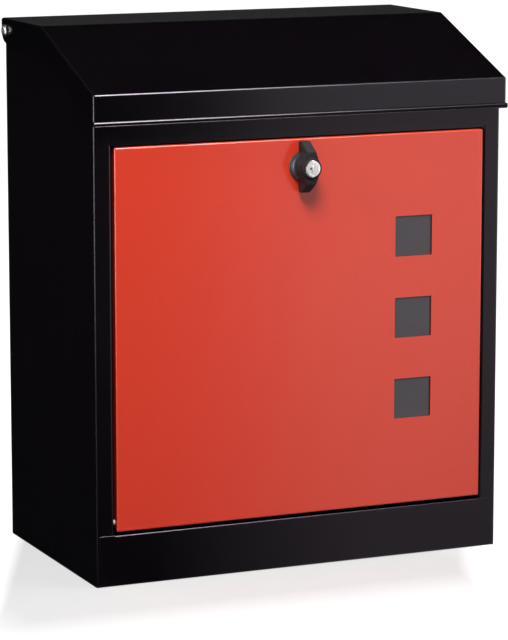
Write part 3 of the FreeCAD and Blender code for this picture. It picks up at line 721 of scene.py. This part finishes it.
def makeWingKnob():
    s = knobSettings
    back, top, radius, bend = s["back"], s["front"], s["radius"], s["round"]
    profile = [(s["foot"] - s["bevel"], back), (s["foot"], back + s["bevel"])]
    for step in range(s["roundSteps"] + 1):
        turn = math.radians(90 * step / s["roundSteps"])
        profile.append((radius - bend * (1 - math.cos(turn)), top - bend * (1 - math.sin(turn))))
    hub = turnedPiece("wingKnob", profile, lockSides)
    upper = [(out * mm, up * mm) for out, up in s["wings"]]
    wings = prismPiece("wings", upper + [(out, -up) for out, up in reversed(upper)], s["wingHalf"])
    roundEdges(wings, s["wingRound"], s["wingSteps"])
    # the outline's out and up become Z and Y, its thickness X
    settle(wings, (0, 0, 0), (0, -math.pi / 2, 0))
    corners = [(across * mm, up * mm) for across, up in s["fairing"]]
    outline = [(-x, -y) for x, y in corners] + [(x, -y) for x, y in reversed(corners)]
    outline += corners + [(-x, y) for x, y in reversed(corners)]
    fairing = prismPiece("fairing", outline, (s["crest"] - back) / 2)
    settle(fairing, (0, 0, (s["crest"] + back) / 2 - s["fairingSunk"]))
    roundEdges(fairing, s["fairingRound"], s["fairingSteps"])
    combine(hub, fairing, "UNION")
    combine(hub, wings, "UNION")
    hole = s["hole"]
    combine(hub, turnedPiece("plugHole", [
        (hole, s["holeFloor"]), (hole, top - s["holeBevel"]),
        (hole + s["holeBevel"], top + s["holeOver"])], lockSides))
    combine(hub, turnedPiece("spindleSeat", [
        (s["seatRadius"], back - s["seatUnder"]), (s["seatRadius"], s["seatEnd"])], s["seatSides"]))
    settle(hub, lockPlace, forward)
    finishPiece(hub, lockBlack, "knob", smooth=32)
    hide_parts("wing_knob")


plugSettings = {
    "radius": 5.75 * mm, "front": 17.3 * mm, "bevel": 0.35 * mm, "bevelShare": 0.3,
    "slotWidth": 1.7 * mm, "slotHeight": 6.2 * mm, "slotDepth": 1.2 * mm,
    "notchSize": (1.5 * mm, 1.3 * mm), "notchDepth": 2.4 * mm, "notchUp": 0.15 * mm,
    "notchShare": 0.3, "shadeWaferGap": 0.04 * mm, "shadeWaferDepth": 0.8 * mm, "shadeWaferSunk": 0.65 * mm,
    "shutterGap": 0.09 * mm, "shutterSunk": 0.12 * mm, "shutterRound": 0.12 * mm,
    "shutterSteps": 2, "ringRadius": 4.75 * mm, "ringWidth": 0.22 * mm, "ringDepth": 0.12 * mm,
}


def makeKeyPlug():
    s = plugSettings
    front, radius, bevel, ring = s["front"], s["radius"], s["bevel"], s["ringRadius"]
    sunk, edge = front - s["ringDepth"], s["bevelShare"] * bevel
    plug = turnedPiece("keyPlug", [
        (radius, knobSettings["holeFloor"]), (radius, front - bevel), (radius - edge, front - edge),
        (radius - bevel, front), (ring + s["ringWidth"] / 2, front), (ring, sunk),
        (ring - s["ringWidth"] / 2, front)], lockSides)
    half, high = s["slotWidth"] / 2, s["slotHeight"] / 2
    corners = [(-half, -high), (half, -high), (half, high), (-half, high)]
    slot = prismPiece("slot", corners, s["slotDepth"])
    settle(slot, (0, 0, front))
    combine(plug, slot)
    wide, tall = s["notchSize"]
    across = -half - s["notchShare"] * wide
    combine(plug, boxPiece("notch", (wide, tall, s["notchDepth"]), (across, s["notchUp"], front)))
    # painted shade: a wafer sunk in the keyway's notch, coloured dark to darken the hole
    waferShade = boxPiece("keyWaferShade", (wide - s["shadeWaferGap"], tall - s["shadeWaferGap"], s["shadeWaferDepth"]),
                     (across, s["notchUp"], front - s["shadeWaferSunk"]))
    settle(waferShade, lockPlace, forward)
    finishPiece(waferShade, lockBlack, "key", smooth=30)
    gap = s["shutterGap"]
    inset = [(x - math.copysign(gap, x), y - math.copysign(gap, y)) for x, y in corners]
    shutter = prismPiece("shutter", inset, s["slotDepth"] / 2)
    roundEdges(shutter, s["shutterRound"], s["shutterSteps"])
    settle(shutter, (0, 0, front - s["shutterSunk"] - s["slotDepth"] / 2))
    join(plug, shutter)
    settle(plug, lockPlace, forward)
    finishPiece(plug, platedPlug, "key", smooth=30)
    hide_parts("key_plug")


makeLockHousing()
makeWingKnob()
makeKeyPlug()
print("lock ready")


# Stage, lights and camera

def seesBackground(tree):  # 1 for the rays that see the background itself
    path = addNode(tree, "ShaderNodeLightPath")
    seen = mathNode(tree, "MAXIMUM", path.outputs["Is Camera Ray"], path.outputs["Is Glossy Ray"])
    return mathNode(tree, "MAXIMUM", seen, path.outputs["Is Transmission Ray"])


stageSettings = {
    "floorSize": 40.0, "floorColour": (0.27, 0.27, 0.27), "nearLift": 0.435, "farLift": 1.0,
    "fill": 0.17, "shadeCentre": (-0.06, -0.034), "shadeHalf": (0.165, 0.109), "liftFrom": 0.0,
    "liftTo": 0.12, "rightEdge": (0.1, 0.15), "leftEdge": (-0.205, -0.235), "sightFrom": 0.08,
    "sightSlope": 0.438,
}
white = (1.0, 1.0, 1.0)


def stageMaterial(name, build):
    material = bpy.data.materials.new(name)
    material.use_nodes = True
    tree = material.node_tree
    emptyTree(tree)
    output = addNode(tree, "ShaderNodeOutputMaterial")
    tree.links.new(build(tree), output.inputs["Surface"])
    return material


def makeFloor():
    s = stageSettings
    bpy.ops.mesh.primitive_plane_add(size=s["floorSize"], location=(0, 0, 0))
    floor = bpy.context.object
    floor.name = "floor"

    def surface(tree):
        matt = addNode(tree, "ShaderNodeBsdfDiffuse", {}, {"Color": s["floorColour"]})
        split = splitPlace(tree)
        gaps = []
        for axis, centre, half in zip("XY", s["shadeCentre"], s["shadeHalf"]):
            gap = mathNode(tree, "SUBTRACT", split.outputs[axis], centre)
            gap = mathNode(tree, "SUBTRACT", mathNode(tree, "ABSOLUTE", gap), half)
            gaps.append(mathNode(tree, "MAXIMUM", gap, 0.0))
        squares = [times(tree, gap, gap) for gap in gaps]
        away = mathNode(tree, "SQRT", mathNode(tree, "ADD", *squares))
        # painted shade: the floor glows less within a rectangle round the box, deepening its real
        # shadow there
        lift = rampNode(tree, away, s["liftFrom"], s["liftTo"], s["nearLift"], s["farLift"])
        # the shade ends beside the box, measured across the camera's line of sight
        behind = mathNode(tree, "ADD", split.outputs["Y"], s["sightFrom"])
        slant = times(tree, behind, s["sightSlope"])
        across = mathNode(tree, "SUBTRACT", split.outputs["X"], slant)
        for edge in (s["rightEdge"], s["leftEdge"]):
            aside = rampNode(tree, across, *edge, 0.0, s["farLift"])
            lift = mathNode(tree, "MAXIMUM", lift, aside)
        lift = times(tree, seesBackground(tree), lift)
        glow = addNode(tree, "ShaderNodeEmission", {}, {"Color": white, "Strength": lift})
        both = addNode(tree, "ShaderNodeAddShader")
        tree.links.new(matt.outputs[0], both.inputs[0])
        tree.links.new(glow.outputs[0], both.inputs[1])
        return both.outputs[0]

    floor.data.materials.append(stageMaterial("paleFloor", surface))


def makeWorld():
    world = bpy.data.worlds.new("studio")
    bpy.context.scene.world = world
    world.use_nodes = True
    tree = world.node_tree
    emptyTree(tree)
    output = addNode(tree, "ShaderNodeOutputWorld")
    fill = addNode(tree, "ShaderNodeBackground", {}, {
        "Color": white, "Strength": stageSettings["fill"]})
    seen = addNode(tree, "ShaderNodeBackground", {}, {"Color": white, "Strength": 1.0})
    mix = addNode(tree, "ShaderNodeMixShader", {}, {"Fac": seesBackground(tree)})
    tree.links.new(fill.outputs[0], mix.inputs[1])
    tree.links.new(seen.outputs[0], mix.inputs[2])
    tree.links.new(mix.outputs[0], output.inputs["Surface"])


# Studio cards round the box, that only gloss sees: dark where the photographed faces mirror them,
# else white

def finishCard(card, name, strength):
    card.name = name
    for kind in ("camera", "diffuse", "transmission", "volume_scatter", "shadow"):
        setattr(card, "visible_" + kind, False)

    def surface(tree):
        glow = addNode(tree, "ShaderNodeEmission", {}, {"Color": white, "Strength": strength(tree)})
        return glow.outputs[0]

    material = stageMaterial(name, surface)
    material.cycles.emission_sampling = "NONE"
    card.data.materials.append(material)


def planeCard(size, scale, place, turn=(0, 0, 0)):
    bpy.ops.mesh.primitive_plane_add(size=size, location=(0, 0, 0))
    card = bpy.context.object
    card.scale = (*scale, 1.0)
    settle(card, place, turn)
    return card


asideSettings = {
    "rightRise": (0.8, 1.2), "rightShare": 2.4, "leftRise": (-1.3, -1.75), "leftNear": 0.45,
    "leftFar": 12.0,
}


def brighterRight(tree, split, glow):  # a glow that grows far to the right
    s = asideSettings
    growth = rampNode(tree, split.outputs["X"], *s["rightRise"], 1.0, s["rightShare"])
    return times(tree, glow, growth)


def leftWall(tree, split, place, edge):  # the light wall far to the left
    s = asideSettings
    glow = rampNode(tree, split.outputs["X"], *s["leftRise"], s["leftNear"], s["leftFar"])
    return times(tree, glow, rampNode(tree, place, *edge))


frontCardSettings = {
    "place": -0.95, "height": 0.8, "half": 3.5, "lift": 0.002, "edge": (0.31, 0.36), "dark": 0.02,
    "bright": 1.18, "leftEdge": (-0.4, -0.62),
}


def frontGlow(tree):
    s = frontCardSettings
    split = splitPlace(tree)
    right = rampNode(tree, split.outputs["X"], *s["edge"], s["dark"], s["bright"])
    right = brighterRight(tree, split, right)
    left = leftWall(tree, split, split.outputs["X"], s["leftEdge"])
    return mathNode(tree, "MAXIMUM", right, left)


def makeFrontCard():
    s = frontCardSettings
    half = s["height"] / 2
    card = planeCard(2.0, (s["half"], half), (0, s["place"], half + s["lift"]), forward)
    finishCard(card, "frontCard", frontGlow)


floorCardSettings = {
    "size": 8.0, "lift": 0.0003, "start": -0.08, "sightSlope": 0.46, "spread": 0.5,
    "edge": (-0.115, 0.05), "reach": (0.1, 0.85), "nearBright": 0.7, "farBright": 1.1,
    "leftSlope": 0.35, "leftEdge": (-0.12, -0.3), "rearSlope": 0.05, "rearEdge": (0.0, 0.3),
    "rearBright": 0.8, "step": (-0.01, 0.0), "rearDark": 0.008, "dark": 0.02,
}


def floorGlow(tree):
    # the edge between dark and white runs along the camera's mirrored line of sight
    s = floorCardSettings
    split = splitPlace(tree)
    ahead = mathNode(tree, "SUBTRACT", s["start"], split.outputs["Y"])
    across = mathNode(tree, "SUBTRACT", split.outputs["X"], times(tree, ahead, s["sightSlope"]))
    spread = mathNode(tree, "ADD", times(tree, ahead, s["spread"]), 1.0)
    share = rampNode(tree, mathNode(tree, "DIVIDE", across, spread), *s["edge"])
    bright = rampNode(tree, ahead, *s["reach"], s["nearBright"], s["farBright"])
    facing = mathNode(tree, "GREATER_THAN", ahead, 0.0)
    front = brighterRight(tree, split, times(tree, share, bright))
    leftward = mathNode(tree, "ADD", split.outputs["X"], times(tree, ahead, s["leftSlope"]))
    front = mathNode(tree, "MAXIMUM", front, leftWall(tree, split, leftward, s["leftEdge"]))
    front = times(tree, front, facing)
    slant = times(tree, split.outputs["Y"], s["rearSlope"])
    rearward = mathNode(tree, "ADD", split.outputs["X"], slant)
    rear = rampNode(tree, rearward, *s["rearEdge"], 0.0, s["rearBright"])
    rear = times(tree, rear, mathNode(tree, "SUBTRACT", 1.0, facing))
    base = rampNode(tree, ahead, *s["step"], s["rearDark"], s["dark"])
    return mathNode(tree, "ADD", mathNode(tree, "ADD", front, rear), base)


def makeFloorCard():
    s = floorCardSettings
    finishCard(planeCard(s["size"], (1.0, 1.0), (0, 0, s["lift"])), "floorCard", floorGlow)


topCardSettings = {
    "place": (0.8, -1.2, 2.1), "size": (1.0, 2.0), "glow": 40.0, "nearFade": (0.62, 0.83),
    "nearLeast": 0.03, "farFrom": -0.95, "farFade": (0.83, 0.97), "farLeast": 0.12,
}


def topGlow(tree):  # fades to the right, more slowly far ahead of the box
    s = topCardSettings
    split = splitPlace(tree)
    near = rampNode(tree, split.outputs["X"], *s["nearFade"], 1.0, s["nearLeast"])
    far = rampNode(tree, split.outputs["X"], *s["farFade"], 1.0, s["farLeast"])
    isFar = mathNode(tree, "LESS_THAN", split.outputs["Y"], s["farFrom"])
    mix = addNode(tree, "ShaderNodeMix", {}, {"Factor": isFar, "A": near, "B": far})
    return times(tree, mix.outputs[0], s["glow"])


def makeTopCard():
    s = topCardSettings
    finishCard(planeCard(1.0, s["size"], s["place"]), "topCard", topGlow)


leftCardSettings = {"place": (-2.0, -0.25, 1.05), "size": (1.5, 1.1), "glow": 1.3}


def makeLeftCard():
    s = leftCardSettings
    card = planeCard(1.0, s["size"], s["place"], (0, math.pi / 2, 0))
    finishCard(card, "leftCard", lambda tree: s["glow"])


skyCardSettings = {  # bounds are shares of the radius
    "radius": 4.0, "sides": 48, "rings": 24, "band": (0.25, 0.6), "side": (-0.2, 0.2),
    "lowGlow": 0.04, "leastGlow": 0.001, "patchAim": (-0.3, 0.1, 0.95), "patchEdge": (0.78, 0.93),
    "patchGlow": 0.12,
}


def skyGlow(tree):  # a low glow behind at the right and a patch high up at the left, dark elsewhere
    s = skyCardSettings
    band, side, patch = (
        [share * s["radius"] for share in s[key]] for key in ("band", "side", "patchEdge"))
    split = splitPlace(tree)
    low = rampNode(tree, split.outputs["Z"], *band, 1.0, 0.0)
    right = rampNode(tree, split.outputs["X"], *side)
    glow = times(tree, times(tree, low, right), s["lowGlow"])
    place = objectPlace(tree)
    height = addNode(tree, "ShaderNodeVectorMath", {"operation": "DOT_PRODUCT"})
    feed(tree, height.inputs[0], place)
    feed(tree, height.inputs[1], s["patchAim"])
    high = rampNode(tree, height.outputs["Value"], *patch, 0.0, s["patchGlow"])
    return mathNode(tree, "ADD", mathNode(tree, "ADD", glow, high), s["leastGlow"])


def makeSkyCard():
    s = skyCardSettings
    bpy.ops.mesh.primitive_uv_sphere_add(
        segments=s["sides"], ring_count=s["rings"], radius=s["radius"])
    finishCard(bpy.context.object, "skyCard", skyGlow)


lampSettings = [
    {"name": "topLamp", "place": (0.45, -0.36, 2.1), "aim": (0.45, -0.36, 0.0),
     "size": (0.42, 0.34), "power": 9.0, "gloss": False},
    {"name": "keyLamp", "place": (-0.44, -0.92, 1.45), "aim": (0, -0.08, 0.25), "size": (0.6, 0.5),
     "power": 31.0, "gloss": False},
    {"name": "leftLamp", "place": (-1.7, -0.35, 1.15), "aim": (0, 0, 0.2), "size": (0.6, 0.6),
     "power": 11.0, "gloss": True},
    {"name": "rearLamp", "place": (-2.0, 1.2, 0.9), "aim": (0, 0.1, 0.2), "size": (0.5, 0.5),
     "power": 6.0, "gloss": True},
]


def makeLamps():
    for lamp in lampSettings:
        data = bpy.data.lights.new(lamp["name"], "AREA")
        data.shape = "RECTANGLE"
        data.size, data.size_y = lamp["size"]
        data.energy = lamp["power"]
        thing = bpy.data.objects.new(lamp["name"], data)
        bpy.context.scene.collection.objects.link(thing)
        thing.location = lamp["place"]
        aim = Vector(lamp["aim"]) - Vector(lamp["place"])
        thing.rotation_euler = aim.to_track_quat("-Z", "Y").to_euler()
        thing.visible_camera = False
        thing.visible_glossy = lamp["gloss"]


cameraSettings = {
    "place": (-0.9111, -2.0657, 0.5622), "lens": 177.9, "tilt": 79.999, "turn": -23.793,
    "sensor": 36.0, "clip": (0.05, 60.0),
}


def makeCamera():
    s = cameraSettings
    data = bpy.data.cameras.new("camera")
    data.lens = s["lens"]
    data.sensor_width = s["sensor"]
    data.clip_start, data.clip_end = s["clip"]
    thing = bpy.data.objects.new("camera", data)
    bpy.context.scene.collection.objects.link(thing)
    thing.location = s["place"]
    thing.rotation_euler = (math.radians(s["tilt"]), 0, math.radians(s["turn"]))
    bpy.context.scene.camera = thing


makeFloor()
makeWorld()
makeFrontCard()
makeFloorCard()
makeTopCard()
makeLeftCard()
makeSkyCard()
makeLamps()
makeCamera()
bpy.context.scene.view_settings.view_transform = "Standard"
print("stage, lamps and camera ready")
